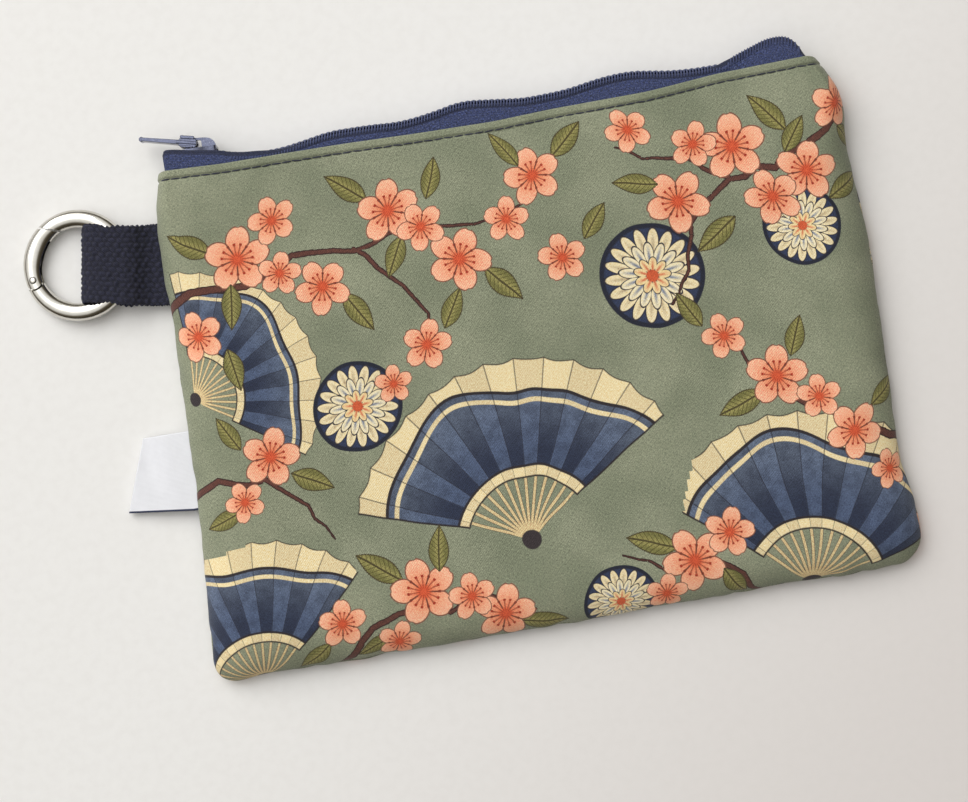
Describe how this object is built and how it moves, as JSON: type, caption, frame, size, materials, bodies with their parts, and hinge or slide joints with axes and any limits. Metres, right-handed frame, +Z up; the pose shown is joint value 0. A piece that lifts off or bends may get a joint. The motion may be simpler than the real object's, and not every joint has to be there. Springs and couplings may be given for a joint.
{
  "type": "flat zipped pouch with a key ring loop",
  "caption": "Flat cotton pouch closed by a coil zip, with a folded webbing loop holding a spring-gate ring and a folded label tab in its side seam.",
  "frame": {"origin": "the middle of the back panel's flat resting face", "axes": "+X runs along the zip away from the slider's closed end and the ring, +Y runs from the bottom edge to the zip, +Z points up through the thickness while the pouch lies on its back panel"},
  "size_m": [0.2171, 0.1415, 0.0112],
  "materials": {
    "print_cotton": "woven cotton, sage ground with a floral print",
    "lining_cotton": "plain woven cotton",
    "zip_tape": "navy woven polyester tape",
    "coil_nylon": "navy nylon coil",
    "slider_metal": "blue-grey painted zinc",
    "nickel": "polished nickel plate",
    "webbing": "coarse dark navy cotton webbing",
    "label_satin": "white satin ribbon"
  },
  "bodies": {
    "pouch": {"front_panel": "print_cotton", "back_panel": "print_cotton", "lining_front": "lining_cotton", "lining_back": "lining_cotton", "zip_tape_front": "zip_tape", "zip_tape_back": "zip_tape", "zip_coil_front": "coil_nylon", "zip_coil_back": "coil_nylon", "label_tag": "label_satin", "webbing_loop": "webbing"},
    "slider": {"slider_body": "slider_metal"},
    "pull": {"slider_pull": "slider_metal"},
    "ring": {"ring_body": "nickel", "gate_pin": "nickel"},
    "gate": {"ring_gate": "nickel", "gate_spring": "nickel"}
  },
  "joints": [
    {"name": "slider_slide", "type": "slide", "parent": "pouch", "child": "slider", "axis": [1, 0, 0], "range_m": [0, 0.149], "deforming": ["zip_coil_front", "zip_coil_back"]},
    {"name": "pull_swing", "type": "hinge", "parent": "slider", "child": "pull", "pos_m": [-0.0764, 0.072, 0.0056], "axis": [0, 0, -1], "range_deg": [-15, 125]},
    {"name": "ring_swing", "type": "hinge", "parent": "pouch", "child": "ring", "pos_m": [-0.09929, 0.04394, 0.00385], "axis": [0.1564, 0.9877, 0], "range_deg": [0, 140], "deforming": ["webbing_loop"]},
    {"name": "gate_open", "type": "hinge", "parent": "ring", "child": "gate", "pos_m": [-0.12329, 0.04372, 0.00205], "axis": [0.0749, -0.0119, -0.9971], "range_deg": [0, 22], "stiffness_Nm_per_rad": 0.004, "springref_deg": -20.05}
  ]
}
